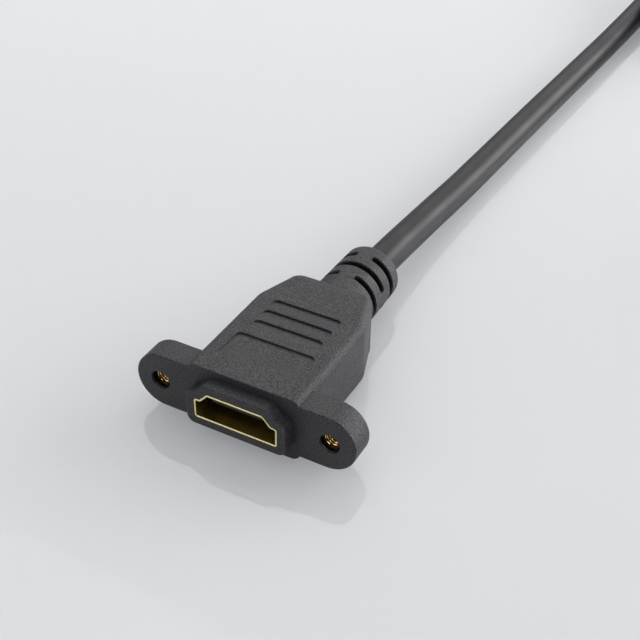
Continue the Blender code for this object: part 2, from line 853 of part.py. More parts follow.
def make_strap(name, angle):
    """A hook-and-loop strap round the coil's section."""
    strap = turned(name, coil_profile(clearance, strap_corner_radius), 3, strap_turn)
    strap.rotation_euler = (0.0, 0.0, math.radians(angle - strap_turn / 2))
    strap.location = (*coil_centre, 0.0)
    band = strap.modifiers.new("band", "SOLIDIFY")
    band.thickness = strap_thickness
    band.offset = 1.0
    band.use_even_offset = True
    dress(strap, name, strap_weave)


clear_scene()
parts = new_collection("panel_mount_extension_cable")
cutters = new_collection("cutters")
black_pvc = new_material("black_pvc", (0.045, 0.045, 0.048), 0.6)
cable_pvc = new_material("cable_pvc", (0.055, 0.055, 0.058), 0.4)
black_plastic = new_material("black_plastic", (0.012, 0.012, 0.012), 0.45)
milky_plastic = new_material("milky_plastic", (0.55, 0.55, 0.52), 0.5)
brass = new_material("brass", (0.72, 0.48, 0.18), 0.3, 1.0)
gold = new_material("gold", (0.86, 0.68, 0.33), 0.25, 1.0)
contact_gold = new_material("contact_gold", (0.86, 0.66, 0.30), 0.3, 1.0)
strap_weave = new_material("strap_weave", (0.03, 0.03, 0.03), 0.9)

make_head()
make_plug()
make_cable()
make_coil()
for strap_index, strap_angle in enumerate(strap_angles, start=1):
    make_strap(f"coil_strap_{strap_index}", strap_angle)
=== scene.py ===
"""Looks of the panel-mount extension cable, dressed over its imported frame.

Metres, +Z up, the head and the cable on z = 0. X runs along the screw ears and Y from the socket's
mouth towards the cable. Helpers that make a moulding take its own frame: front face at y = 0,
middle of the body at z = 0.
"""
import math

import bmesh
import bpy
from mathutils import Matrix, Vector


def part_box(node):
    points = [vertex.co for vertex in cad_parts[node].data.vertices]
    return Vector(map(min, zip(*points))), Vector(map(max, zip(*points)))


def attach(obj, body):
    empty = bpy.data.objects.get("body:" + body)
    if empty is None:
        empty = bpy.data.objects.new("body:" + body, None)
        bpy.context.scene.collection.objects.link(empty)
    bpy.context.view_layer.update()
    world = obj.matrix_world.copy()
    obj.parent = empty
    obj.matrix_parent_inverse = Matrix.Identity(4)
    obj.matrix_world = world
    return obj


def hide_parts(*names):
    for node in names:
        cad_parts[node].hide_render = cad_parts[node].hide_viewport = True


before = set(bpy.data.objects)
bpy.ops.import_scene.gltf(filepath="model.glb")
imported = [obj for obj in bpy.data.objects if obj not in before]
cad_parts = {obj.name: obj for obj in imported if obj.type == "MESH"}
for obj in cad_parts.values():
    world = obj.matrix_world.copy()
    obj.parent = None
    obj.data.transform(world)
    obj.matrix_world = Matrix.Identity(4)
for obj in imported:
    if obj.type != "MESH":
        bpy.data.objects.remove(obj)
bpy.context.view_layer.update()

# Camera, as fitted to the photograph
image_width = 640
focal_pixels = 1182.7
camera_place = (0.073864, -0.133762, 0.125265)
camera_azimuth = 28.188
camera_elevation = 37.066
camera_roll = 0.734

# Head, from the front face of its ears
body_width = 0.0199
body_height = 0.0117
body_length = 0.0290
body_rear_width = 0.0146
body_taper_start = 0.0213
body_edge_radius = 0.0015
body_corner_radius = 0.0016
front_edge = 0.00015
neck_length = 0.0040
neck_width = 0.0126
neck_top = 0.00545
neck_crease = 0.00108
neck_facet = math.radians(30)
hole_spacing = 0.0300
hole_diameter = 0.0034
ear_end = 0.0044
flange_height = 0.0099
flange_thickness = 0.0047
ear_rise = 0.0001
ear_front_edge = 0.0002
ear_rear_edge = 0.0005
insert_diameter = 0.0046
insert_length = 0.0030
insert_bore = 0.0026
insert_lip = 0.0005
insert_room = 0.0036          # behind the lip, with the insert at its back end
insert_setback = 0.0006       # from the lip to the insert
thread_pitch = 0.0005
thread_depth = 0.00028
knurl_depth = 0.00012
knurl_count = 28
socket_rise = 0.0003
socket_width = 0.0147
socket_height = 0.0052
socket_wall = 0.00035
socket_back = 0.0092
boss_protrusion = 0.0023
boss_edge = 0.00016

# Strain relief
relief_front_radius = 0.0055
relief_end_radius = 0.0053
relief_length = 0.0102
relief_lip = 0.00045
relief_edge = 0.0009
relief_drop = 0.00025
relief_shift = 0.00022
slot_width = 0.00118
slot_pitch = 0.00335
first_slot = 0.0006
slot_depth = 0.0021
slot_edge = 0.00010
side_slot_reach = 74
top_slot_reach = 75

# Grip steps and the bare panel in front of them
grip_count = 3
grip_pitch = 0.00305
grip_last = 0.0206
grip_width = 0.0124
grip_ramp = 0.0023
grip_depth = 0.00035
grip_corner = 0.0009
panel_wall = 0.01045
panel_width = 0.0140
panel_ramp = 0.0072
panel_depth = 0.0003

# Plug
plug_body_width = 0.0202
plug_body_height = 0.0112
plug_body_length = 0.0262
plug_taper_start = 0.0180
plug_grip_last = 0.0172
plug_shell_width = 0.0139
plug_shell_height = 0.00445
plug_shell_wall = 0.0003
plug_shell_reach = 0.0116
plug_shell_seat = 0.0075

# Cable
cable_diameter = 0.0060
route = [
    (0.0000, 0.0168, 0.0056), (0.0000, 0.0228, 0.0056), (0.0000, 0.0300, 0.0053),
    (0.0000, 0.0400, 0.0044), (0.0002, 0.0500, 0.0037), (0.0006, 0.0600, 0.0032),
    (0.0010, 0.0700, 0.0030), (0.0015, 0.0800, 0.0030), (0.0026, 0.1000, 0.0030),
    (0.0038, 0.1200, 0.0030), (0.0049, 0.1400, 0.0030), (0.0058, 0.1600, 0.0031),
    (0.0066, 0.1780, 0.0036),
]
tail_route = [
    (0.0779, 0.1850, 0.0099), (0.0780, 0.1750, 0.0086), (0.0782, 0.1650, 0.0066),
    (0.0784, 0.1550, 0.0046), (0.0785, 0.1450, 0.0035), (0.0785, 0.1350, 0.0032),
    (0.0784, 0.1250, 0.0037), (0.0781, 0.1160, 0.0048), (0.0779, 0.1085, 0.0053),
    (0.0779, 0.1050, 0.00535), (0.0779, 0.0985, 0.00535),
]
plug_rear = (0.0779, 0.1050)
coil_centre = (0.0424, 0.1935)
coil_outer_turn = 0.0355
turn_pitch = 0.0063
coil_low = 0.0041
coil_turns = 3.5
strap_thickness = 0.0008
strap_width = 0.0060
strap_angles = (90, 270)
strap_play = 0.0002
strap_edge = 0.00018
strap_corner_radius = 0.0031

# Sizes that follow
relief_start = body_length + neck_length
head_length = relief_start + relief_length
head_origin = Vector((0.0, -(head_length - boss_protrusion) / 2, body_height / 2))
plug_length = plug_body_length + neck_length + relief_length
plug_origin = Vector((plug_rear[0], plug_rear[1] - plug_length, plug_body_height / 2))
cable_radius = cable_diameter / 2
flange_length = hole_spacing + 2 * ear_end
overrun = 0.002
mouth_play = 0.00003
floor_level = -0.00002
floor_half = 3.0


# Materials

def new_material(name, colour, roughness, metallic=0.0, specular=0.5):
    made = bpy.data.materials.new(name)
    made.use_nodes = True
    shader = made.node_tree.nodes["Principled BSDF"]
    shader.inputs["Base Color"].default_value = (*colour, 1.0)
    shader.inputs["Roughness"].default_value = roughness
    shader.inputs["Metallic"].default_value = metallic
    shader.inputs["Specular IOR Level"].default_value = specular
    return made


def noise(material, scale, detail=2.0, stretch=(1.0, 1.0, 1.0)):
    """Noise in the object's own coordinates; scale is in features per metre."""
    tree = material.node_tree
    coordinates = tree.nodes.new("ShaderNodeTexCoord")
    mapping = tree.nodes.new("ShaderNodeMapping")
    mapping.inputs["Scale"].default_value = stretch
    tree.links.new(coordinates.outputs["Object"], mapping.inputs["Vector"])
    made = tree.nodes.new("ShaderNodeTexNoise")
    made.inputs["Scale"].default_value = scale
    made.inputs["Detail"].default_value = detail
    tree.links.new(mapping.outputs["Vector"], made.inputs["Vector"])
    return made.outputs["Fac"]


def ramp(material, value, low, high, first, second):
    """Map a value from low..high to a colour or a number between first and second."""
    tree = material.node_tree
    made = tree.nodes.new("ShaderNodeMapRange")
    made.inputs["From Min"].default_value = low
    made.inputs["From Max"].default_value = high
    tree.links.new(value, made.inputs["Value"])
    if isinstance(first, (int, float)):
        made.inputs["To Min"].default_value = first
        made.inputs["To Max"].default_value = second
        return made.outputs["Result"]
    mix = tree.nodes.new("ShaderNodeMix")
    mix.data_type = "RGBA"
    mix.inputs["A"].default_value = (*first, 1.0)
    mix.inputs["B"].default_value = (*second, 1.0)
    tree.links.new(made.outputs["Result"], mix.inputs["Factor"])
    return mix.outputs["Result"]


def feed(material, socket, value):
    shader = material.node_tree.nodes["Principled BSDF"]
    material.node_tree.links.new(value, shader.inputs[socket])


def bump(material, height, distance, strength=1.0, under=None):
    tree = material.node_tree
    made = tree.nodes.new("ShaderNodeBump")
    made.inputs["Strength"].default_value = strength
    made.inputs["Distance"].default_value = distance
    tree.links.new(height, made.inputs["Height"])
    if under is not None:
        tree.links.new(under, made.inputs["Normal"])
    feed(material, "Normal", made.outputs["Normal"])
    return made.outputs["Normal"]


def moulded_pvc():
    """Spark-eroded mould finish: a fine, even grain on black PVC."""
    made = new_material("moulded_pvc", (0.037, 0.037, 0.040), 0.5, specular=0.45)
    grain = noise(made, 4400, 2.0)
    cloud = noise(made, 260, 3)
    feed(made, "Base Color", ramp(made, grain, 0.34, 0.66, (0.022, 0.022, 0.024), (0.054, 0.054, 0.058)))
    feed(made, "Specular IOR Level", ramp(made, grain, 0.34, 0.66, 0.28, 0.64))
    feed(made, "Roughness", ramp(made, cloud, 0.3, 0.7, 0.42, 0.52))
    bump(made, grain, 0.00012, 1.0)
    return made


def slot_pvc():
    """Painted shade inside the strain relief's slots: a near-black skin, rough and with little sheen."""
    made = new_material("slot_pvc", (0.008, 0.008, 0.009), 0.8, specular=0.15)
    grain = noise(made, 4400, 2.0)
    feed(made, "Base Color", ramp(made, grain, 0.34, 0.66, (0.005, 0.005, 0.006), (0.012, 0.012, 0.013)))
    return made


def cable_pvc():
    """Extruded PVC: satin, with faint draw lines and slow waves."""
    made = new_material("cable_pvc", (0.020, 0.020, 0.023), 0.40, specular=0.30)
    fine = noise(made, 2600, 2)
    slow = noise(made, 120, 2)
    feed(made, "Roughness", ramp(made, slow, 0.3, 0.7, 0.38, 0.46))
    under = bump(made, slow, 0.0004, 0.25)
    bump(made, fine, 0.00002, 0.4, under)
    return made


def gold_plate():
    made = new_material("gold_plate", (1.0, 0.88, 0.47), 0.24, metallic=1.0)
    brushed = noise(made, 900, 3, (1.0, 0.15, 1.0))
    feed(made, "Roughness", ramp(made, brushed, 0.3, 0.7, 0.20, 0.34))
    feed(made, "Base Color", ramp(made, brushed, 0.3, 0.7, (0.98, 0.84, 0.42), (1.0, 0.92, 0.53)))
    return made


def shaded_gold():
    """The shell's inside: darker gold as painted shade, and rougher than on its rim."""
    made = new_material("shaded_gold", (0.64, 0.52, 0.18), 0.34, metallic=1.0)
    drawn = noise(made, 500, 2, (1.0, 0.2, 1.0))
    feed(made, "Roughness", ramp(made, drawn, 0.3, 0.7, 0.29, 0.40))
    return made


def contact_plate():
    made = new_material("contact_plate", (0.90, 0.66, 0.26), 0.22, metallic=1.0)
    worn = noise(made, 1600, 2, (1.0, 0.2, 1.0))
    feed(made, "Base Color", ramp(made, worn, 0.35, 0.65, (0.80, 0.55, 0.20), (0.93, 0.72, 0.32)))
    return made


def turned_brass():
    made = new_material("turned_brass", (0.90, 0.62, 0.26), 0.14, metallic=1.0)
    tool_marks = noise(made, 1400, 3, (1.0, 0.3, 1.0))
    feed(made, "Roughness", ramp(made, tool_marks, 0.3, 0.7, 0.08, 0.24))
    feed(made, "Base Color", ramp(made, tool_marks, 0.3, 0.7, (0.82, 0.44, 0.11), (1.0, 0.72, 0.31)))
    return made


def shaded_brass():
    """Painted shade: dark, rough brass in the thread's valleys and round its mouth, with a random mottle."""
    made = new_material("shaded_brass", (0.05, 0.03, 0.012), 0.5, metallic=0.6)
    mottle = noise(made, 2500, 3)
    feed(made, "Base Color", ramp(made, mottle, 0.3, 0.7, (0.02, 0.016, 0.008), (0.10, 0.055, 0.018)))
    return made


def carrier_plastic():
    made = new_material("carrier_plastic", (0.012, 0.012, 0.013), 0.4)
    speckle = noise(made, 2200, 2)
    feed(made, "Roughness", ramp(made, speckle, 0.3, 0.7, 0.34, 0.48))
    return made


def inner_plastic():
    made = new_material("inner_plastic", (0.55, 0.55, 0.52), 0.5)
    flow = noise(made, 300, 3)
    feed(made, "Base Color", ramp(made, flow, 0.3, 0.7, (0.50, 0.50, 0.47), (0.62, 0.62, 0.59)))
    return made


def strap_fabric():
    """Hook-and-loop: a dense woven back with a nap."""
    made = new_material("strap_fabric", (0.02, 0.02, 0.021), 0.9, specular=0.2)
    nap = noise(made, 4200, 3)
    weave = noise(made, 1500, 1)
    feed(made, "Base Color", ramp(made, nap, 0.35, 0.65, (0.012, 0.012, 0.013), (0.036, 0.036, 0.038)))
    under = bump(made, weave, 0.0003, 0.7)
    bump(made, nap, 0.00015, 0.8, under)
    return made


# Mesh helpers

def make_object(name, bm):
    bmesh.ops.recalc_face_normals(bm, faces=bm.faces)
    mesh = bpy.data.meshes.new(name)
    bm.to_mesh(mesh)
    bm.free()
    made = bpy.data.objects.new(name, mesh)
    bpy.context.scene.collection.objects.link(made)
    return made


def shade(obj, material, angle=32):
    obj.data.materials.clear()
    obj.data.materials.append(material)
    obj.data.shade_smooth()
    obj.data.set_sharp_from_angle(angle=math.radians(angle))


def weigh_normals(obj):
    """Let large flat faces keep their flat look beside small roundings."""
    weighted = obj.modifiers.new("normals", "WEIGHTED_NORMAL")
    weighted.keep_sharp = True
    weighted.weight = 100


def rounded_outline(corners, steps=6):
    """Points round a closed outline of (x, y, radius) corners, listed anticlockwise."""
    points = []
    count = len(corners)
    for i in range(count):
        here = Vector(corners[i][:2])
        radius = corners[i][2]
        to_last = (Vector(corners[i - 1][:2]) - here).normalized()
        to_next = (Vector(corners[(i + 1) % count][:2]) - here).normalized()
        half = to_last.angle(to_next) / 2
        middle = here + (to_last + to_next).normalized() * radius / math.sin(half)
        start = here + to_last * radius / math.tan(half) - middle
        end = here + to_next * radius / math.tan(half) - middle
        first = math.atan2(start.y, start.x)
        turn = math.atan2(start.cross(end), start.dot(end))
        for k in range(steps + 1):
            angle = first + turn * k / steps
            points.append((middle.x + radius * math.cos(angle), middle.y + radius * math.sin(angle)))
    return points


def offset_corners(corners, distance):
    """Move each side of an anticlockwise outline outwards; its corner radii follow."""
    moved = []
    count = len(corners)
    for i in range(count):
        here = Vector(corners[i][:2])
        before = (here - Vector(corners[i - 1][:2])).normalized()
        after = (Vector(corners[(i + 1) % count][:2]) - here).normalized()
        out_before = Vector((before.y, -before.x))
        out_after = Vector((after.y, -after.x))
        mitre = (out_before + out_after) / (1 + out_before.dot(out_after))
        bend = 1 if before.cross(after) > 0 else -1
        radius = corners[i][2] + distance * bend
        moved.append((*(here + mitre * distance), max(radius, 0.00005)))
    return moved


def mirrored(half):
    """A whole outline from its right half, listed upwards."""
    return half + [(-x, y, r) for x, y, r in reversed(half)]


def display_corners(width, height):
    """The display connector's outline, its wide side down, about the middle of its height."""
    side = width / 2
    low = -height / 2
    high = height / 2
    shoulder = low + 0.69 * height
    return mirrored([
        (side, low, 0.0005),
        (side, shoulder, 0.0004),
        (side - 0.00105, shoulder + 0.0001, 0.0005),
        (side - 0.0024, high, 0.0006),
    ])


def boss_corners():
    """The boss round the socket follows it loosely."""
    side = socket_width / 2 + 0.0014
    return mirrored([
        (side, -0.0040, 0.0014),
        (side, 0.0021, 0.0011),
        (side - 0.0015, 0.00235, 0.0009),
        (side - 0.0031, 0.0041, 0.0012),
    ])


def box_corners(width, height, radius, middle=(0.0, 0.0)):
    x, y = width / 2, height / 2
    signs = ((1, -1), (1, 1), (-1, 1), (-1, -1))
    return [(middle[0] + sx * x, middle[1] + sy * y, radius) for sx, sy in signs]


def skin(bm, rings, cap_first=True, cap_last=True):
    """Faces between rings of points that have as many points each."""
    made = [[bm.verts.new(point) for point in ring] for ring in rings]
    count = len(made[0])
    for first, second in zip(made, made[1:]):
        for i in range(count):
            j = (i + 1) % count
            bm.faces.new((first[i], first[j], second[j], second[i]))
    if cap_first:
        bm.faces.new(list(reversed(made[0])))
    if cap_last:
        bm.faces.new(made[-1])
    return made


def closed_skin(bm, rings):
    """A skin whose last ring joins its first, as on a tube with a thick wall."""
    made = skin(bm, rings, False, False)
    count = len(made[0])
    for i in range(count):
        j = (i + 1) % count
        bm.faces.new((made[-1][i], made[-1][j], made[0][j], made[0][i]))


def prism(name, corners, start, end, first_edge=0.0, last_edge=0.0, rise=0.0, steps=6):
    """An outline extruded along Y, with its end edges rounded."""
    rings = []

    def ring(inset, y):
        return [(x, y, z + rise) for x, z in rounded_outline(offset_corners(corners, -inset), steps)]

    for k in range(4 if first_edge else 1):
        angle = math.radians(30 * k)
        rings.append(ring(first_edge * (1 - math.sin(angle)), start + first_edge * (1 - math.cos(angle))))
    for k in range(4 if last_edge else 1):
        angle = math.radians(90 - 30 * k)
        rings.append(ring(last_edge * (1 - math.sin(angle)), end - last_edge * (1 - math.cos(angle))))
    bm = bmesh.new()
    skin(bm, rings)
    return make_object(name, bm)


def rod(name, radius, start, end, x=0.0, z=0.0, segments=64):
    """A cylinder along Y."""
    turns = [math.tau * k / segments for k in range(segments)]
    rings = [[(x + radius * math.cos(turn), y, z + radius * math.sin(turn)) for turn in turns]
             for y in (start, end)]
    bm = bmesh.new()
    skin(bm, rings)
    return make_object(name, bm)


def combine(target, tool, operation):
    """Apply a Boolean at once and remove its tool."""
    step = target.modifiers.new("step", "BOOLEAN")
    step.operation = operation
    step.solver = "EXACT"
    step.object = tool
    graph = bpy.context.evaluated_depsgraph_get()
    result = bpy.data.meshes.new_from_object(target.evaluated_get(graph))
    target.modifiers.clear()
    old = target.data
    target.data = result
    bpy.data.meshes.remove(old)
    bpy.data.objects.remove(tool, do_unlink=True)


# The moulding over head and plug

def body_section(y, half_width, half_height, radius, steps=6):
    corners = box_corners(2 * half_width, 2 * half_height, radius)
    points = []
    outline = rounded_outline(corners, steps)
    for first, second in zip(outline, outline[1:] + outline[:1]):
        points.append(first)
        long = math.hypot(second[0] - first[0], second[1] - first[1])
        if long > 0.003:
            for k in range(1, 8):
                points.append((first[0] + (second[0] - first[0]) * k / 8,
                               first[1] + (second[1] - first[1]) * k / 8))
    return [(x, y, z) for x, z in points]


def faceted_radius(angle):
    """The neck's outline where it leaves the body: a circle with a flat top and two facets."""
    turned = abs(angle)
    radius = min(relief_front_radius, neck_top / max(0.1, math.cos(turned)))
    crease = math.atan2(neck_crease, neck_top)
    facet = neck_top / math.cos(crease) * math.cos(neck_facet - crease)
    return min(radius, facet / max(0.1, math.cos(turned - neck_facet)))


def body_and_neck(name, width, height, length, rear_width, taper_start):
    """The drawn-in body, and the neck that turns its rectangle into the strain relief's circle."""
    half = width / 2
    tall = height / 2
    corner_start = length - body_corner_radius
    taper = (half - rear_width / 2) / (length - taper_start)

    def width_at(y):
        return half - max(0.0, y - taper_start) * taper

    sections = []
    for k in range(4):
        angle = math.radians(30 * k)
        inset = front_edge * (1 - math.sin(angle))
        sections.append(body_section(front_edge * (1 - math.cos(angle)), half - inset, tall - inset,
                                     body_edge_radius))
    sections.append(body_section(taper_start - 0.0007, half, tall, body_edge_radius))
    sections.append(body_section(taper_start, half - taper * 0.0002, tall, body_edge_radius))
    sections.append(body_section(taper_start + 0.0007, width_at(taper_start + 0.0007), tall,
                                 body_edge_radius))
    sections.append(body_section(corner_start, width_at(corner_start), tall, body_edge_radius))
    rear_half = neck_width / 2
    for k in range(1, 7):
        angle = math.radians(15 * k)
        y = corner_start + body_corner_radius * math.sin(angle)
        drawn_in = (width_at(corner_start) - rear_half) * (1 - math.cos(angle))
        lower = 0.00025 * (1 - math.cos(angle))
        sections.append(body_section(y, width_at(corner_start) - drawn_in, tall - lower, body_edge_radius))
    rear = sections[-1]
    for y, faceted in ((length, True), (length + neck_length, False)):
        ring = []
        for x, _, z in rear:
            angle = math.atan2(x, z * rear_half / tall)
            radius = faceted_radius(angle) if faceted else relief_front_radius
            ring.append((relief_shift + radius * math.sin(angle), y,
                         radius * math.cos(angle) - relief_drop))
        sections.append(ring)
    bm = bmesh.new()
    skin(bm, sections)
    return make_object(name, bm)


def slot_distance(angle, along, row):
    """Signed distance from a strain relief's slot, below zero inside it; angle is from the top."""
    radius = relief_front_radius
    centre = 90 if row % 2 == 0 else 0
    reach = side_slot_reach if row % 2 == 0 else top_slot_reach
    off = abs((angle - centre + 90) % 180 - 90)
    over = max(0.0, math.radians(off - reach) * radius + slot_width / 2)
    return math.hypot(over, along) - slot_width / 2


def relief_point(angle, y, start, end):
    part = (y - start) / (end - start)
    radius = relief_front_radius + (relief_end_radius - relief_front_radius) * max(0.0, part)
    into_edge = max(0.0, y - (end - relief_edge))
    radius -= relief_edge - math.sqrt(max(0.0, relief_edge ** 2 - into_edge ** 2))
    for row in range(3):
        along = y - (start + first_slot + slot_pitch * row)
        gap = slot_distance(angle, along, row)
        if gap < slot_edge:
            sunk = min(1.0, (slot_edge - gap) / (2 * slot_edge))
            radius -= slot_depth * sunk * sunk * (3 - 2 * sunk)
    return radius


def relief_stations(start, end):
    """Places along the strain relief, closer together at the slots' edges and the end's rounding."""
    stations = {start - 0.0012, start - 0.0006, start}
    for row in range(3):
        middle = start + first_slot + slot_pitch * row
        for side in (-1, 1):
            for k in range(-5, 6):
                stations.add(middle + side * (slot_width / 2 + k * slot_edge / 4))
        stations.add(middle)
        for k in range(1, 6):
            stations.add(middle + slot_pitch * (0.25 + 0.09 * k))
    for k in range(9):
        stations.add(end - relief_edge * (1 - math.sin(math.radians(90 * k / 8))))
    return sorted(y for y in stations if y <= end)


def strain_relief(name, start):
    """The slotted sleeve round the cable, with its bore."""
    end = start + relief_length + relief_lip
    angles = []
    for base in range(0, 360, 90):
        for k in range(90):
            angles.append(base + k)
    rings = []
    for y in relief_stations(start, end):
        ring = []
        for angle in angles:
            radius = relief_point(angle, y, start, end)
            if y < start:
                radius -= 0.0006
            turn = math.radians(angle)
            ring.append((relief_shift + radius * math.sin(turn), y, radius * math.cos(turn) - relief_drop))
        rings.append(ring)
    for radius, y in ((cable_radius + 0.00012, end), (cable_radius + 0.00005, end - 0.0002),
                      (cable_radius + 0.00005, end - 0.005)):
        rings.append([
            (relief_shift + radius * math.sin(math.radians(a)), y,
             radius * math.cos(math.radians(a)) - relief_drop)
            for a in angles
        ])
    bm = bmesh.new()
    skin(bm, rings)
    return make_object(name, bm)


def step_tool(name, wall, ramp_length, width, depth, top, side):
    """A recess that deepens towards the cable and ends at a wall with a small chamfer."""
    chamfer = 0.00007
    apart = 0.000003
    front = wall - ramp_length

    def outline(grow):
        corners = [
            (width / 2 + grow, front, 0.0002),
            (width / 2 + grow, wall + grow, grip_corner),
            (-width / 2 - grow, wall + grow, grip_corner),
            (-width / 2 - grow, front, 0.0002),
        ]
        return rounded_outline(corners, 8)

    def bottom(y):
        return top + 0.00002 - (depth + 0.00002) * (y - front) / ramp_length

    rings = [
        [(x, y, bottom(y)) for x, y in outline(0.0)],
        [(x, y, max(top - chamfer, bottom(y) + apart)) for x, y in outline(0.0)],
        [(x, y, max(top, bottom(y) + 2 * apart)) for x, y in outline(chamfer)],
        [(x, y, top + 0.0004) for x, y in outline(chamfer)],
    ]
    rings = [[(x * side, y, z * side) for x, y, z in ring] for ring in rings]
    bm = bmesh.new()
    skin(bm, rings)
    return make_object(name, bm)


def cut_grips(target, last_wall, height):
    for side in (1, -1):
        for k in range(grip_count):
            wall = last_wall - grip_pitch * k
            combine(target, step_tool("grip", wall, grip_ramp, grip_width, grip_depth, height / 2, side),
                    "DIFFERENCE")


def add_relief(target, start):
    """Join the strain relief's own mesh to the moulding's."""
    sleeve = strain_relief("sleeve", start)
    bm = bmesh.new()
    bm.from_mesh(target.data)
    bm.from_mesh(sleeve.data)
    bm.to_mesh(target.data)
    bm.free()
    bpy.data.objects.remove(sleeve, do_unlink=True)


def place(obj, origin):
    obj.data.transform(Matrix.Translation(origin))


def crisp_ring(obj, y):
    """Keep the edge where the body's faces meet the neck crisp."""
    for edge in obj.data.edges:
        ends = [obj.data.vertices[i].co for i in edge.vertices]
        on_ring = all(abs(end.y - y) < 0.00001 for end in ends)
        on_crease = all(abs(abs(end.x - relief_shift) - neck_crease) < 0.00008 and y - 0.0001 < end.y
                        and abs(end.z) > 0.0045 for end in ends)
        if on_ring or on_crease:
            edge.use_edge_sharp = True


def paint_slot_shade(obj, start):
    """Paint shade on the slots' floors and lower walls: they take the near-black slot skin."""
    obj.data.materials.append(slot_shade_pvc)
    for face in obj.data.polygons:
        middle = face.center
        out = math.hypot(middle.x - relief_shift, middle.z + relief_drop)
        if start - 0.0008 < middle.y < start + relief_length - relief_edge and 0.0032 < out < 0.0050:
            face.material_index = 1


def make_head_moulding():
    skin_obj = body_and_neck("head_moulding", body_width, body_height, body_length, body_rear_width,
                             body_taper_start)
    ears = prism("ears", box_corners(flange_length, flange_height, flange_height / 2 - 0.00001), 0.0,
                 flange_thickness, ear_front_edge, ear_rear_edge, ear_rise, steps=20)
    combine(skin_obj, ears, "UNION")
    boss = prism("boss", boss_corners(), -boss_protrusion, overrun, boss_edge, 0.0, socket_rise)
    combine(skin_obj, boss, "UNION")
    mouth = prism("mouth", offset_corners(display_corners(socket_width, socket_height), mouth_play),
                  -boss_protrusion - overrun, socket_back, rise=socket_rise)
    combine(skin_obj, mouth, "DIFFERENCE")
    for side in (-1, 1):
        x = side * hole_spacing / 2
        combine(skin_obj, rod("hole", hole_diameter / 2, -overrun, flange_thickness + overrun, x, ear_rise),
                "DIFFERENCE")
        combine(skin_obj, rod("room", insert_diameter / 2, insert_lip, insert_lip + insert_room, x, ear_rise),
                "DIFFERENCE")
    cut_grips(skin_obj, grip_last, body_height)
    combine(skin_obj, step_tool("panel", panel_wall, panel_ramp, panel_width, panel_depth,
                                body_height / 2, 1), "DIFFERENCE")
    add_relief(skin_obj, relief_start)
    shade(skin_obj, pvc)
    crisp_ring(skin_obj, body_length)
    paint_slot_shade(skin_obj, relief_start)
    place(skin_obj, head_origin)
    weigh_normals(skin_obj)
    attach(skin_obj, "root")
    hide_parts("overmould")


def make_plug_moulding():
    skin_obj = body_and_neck("plug_moulding", plug_body_width, plug_body_height, plug_body_length,
                             body_rear_width, plug_taper_start)
    mouth = prism("mouth", offset_corners(display_corners(plug_shell_width, plug_shell_height), mouth_play),
                  -overrun, plug_shell_seat)
    combine(skin_obj, mouth, "DIFFERENCE")
    cut_grips(skin_obj, plug_grip_last, plug_body_height)
    add_relief(skin_obj, plug_body_length + neck_length)
    shade(skin_obj, pvc)
    crisp_ring(skin_obj, plug_body_length)
    paint_slot_shade(skin_obj, plug_body_length + neck_length)
    place(skin_obj, plug_origin)
    weigh_normals(skin_obj)
    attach(skin_obj, "root")
    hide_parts("plug_overmould")
    return skin_obj


# Metal pieces

def shell(name, width, height, wall, start, end, rise, origin, node):
    """The folded shell as a wall with rounded rims."""
    corners = display_corners(width, height)
    lip = wall / 3
    profile = []
    for k in range(4):
        angle = math.radians(30 * k)
        profile.append((lip * (1 - math.sin(angle)), start + lip * (1 - math.cos(angle))))
    profile.append((0.0, end))
    profile.append((wall, end))
    for k in range(4):
        angle = math.radians(90 - 30 * k)
        profile.append((wall - lip * (1 - math.sin(angle)), start + lip * (1 - math.cos(angle))))
    rings = []
    for inset, y in profile:
        outline = rounded_outline(offset_corners(corners, -inset), 6)
        rings.append([(x, y, z + rise) for x, z in outline])
    bm = bmesh.new()
    closed_skin(bm, rings)
    obj = make_object(name, bm)
    shade(obj, gold)
    # Painted shade: faces on the shell's inside walls take the darker gold.
    obj.data.materials.append(inside_shade_gold)
    for face in obj.data.polygons:
        outwards = face.normal.x * face.center.x + face.normal.z * (face.center.z - rise)
        if outwards < 0 and abs(face.normal.y) < 0.3:
            face.material_index = 1
    place(obj, origin)
    weigh_normals(obj)
    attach(obj, "root")
    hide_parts(node)
    return obj


def thread_rings(bore, length, segments):
    """The inside of a nut as rings from back to front."""
    steps = int(length / thread_pitch * 10)
    rings = []
    for k in range(steps + 1):
        y = length * (1 - k / steps)
        ring = []
        for s in range(segments):
            phase = (y / thread_pitch + s / segments) % 1.0
            ridge = abs(2 * phase - 1)
            fade = min(1.0, y / 0.0003, (length - y) / 0.0003)
            radius = bore / 2 + thread_depth * (1 - ridge * fade)
            angle = math.tau * s / segments
            ring.append((radius * math.cos(angle), y, radius * math.sin(angle)))
        rings.append(ring)
    return rings


def make_insert(name, node, x):
    """A knurled brass bush with an M3 thread."""
    segments = knurl_count * 4
    rings = thread_rings(insert_bore, insert_length, segments)
    third = insert_length / 3
    outer = insert_diameter / 2
    for y, knurled in ((0.0, False), (0.00015, True), (third, True), (third, False), (2 * third, False),
                       (2 * third, True), (insert_length - 0.00015, True), (insert_length, False)):
        ring = []
        for s in range(segments):
            angle = math.tau * s / segments
            radius = outer - knurl_depth * (1 if not knurled else (0.0, 0.5, 1.0, 0.5)[s % 4])
            ring.append((radius * math.cos(angle), y, radius * math.sin(angle)))
        rings.append(ring)
    bm = bmesh.new()
    closed_skin(bm, rings)
    obj = make_object(name, bm)
    shade(obj, brass, 28)
    obj.data.materials.append(shade_brass)
    # Painted shade: faces outside the crest line (the thread's valleys and the outside) and the end faces
    # take the dark brass.
    crest = insert_bore / 2 + 0.45 * thread_depth
    for face in obj.data.polygons:
        if math.hypot(face.center.x, face.center.z) > crest or abs(face.normal.y) > 0.9:
            face.material_index = 1
    place(obj, head_origin + Vector((x, insert_lip + insert_setback, ear_rise)))
    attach(obj, "root")
    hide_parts(node)


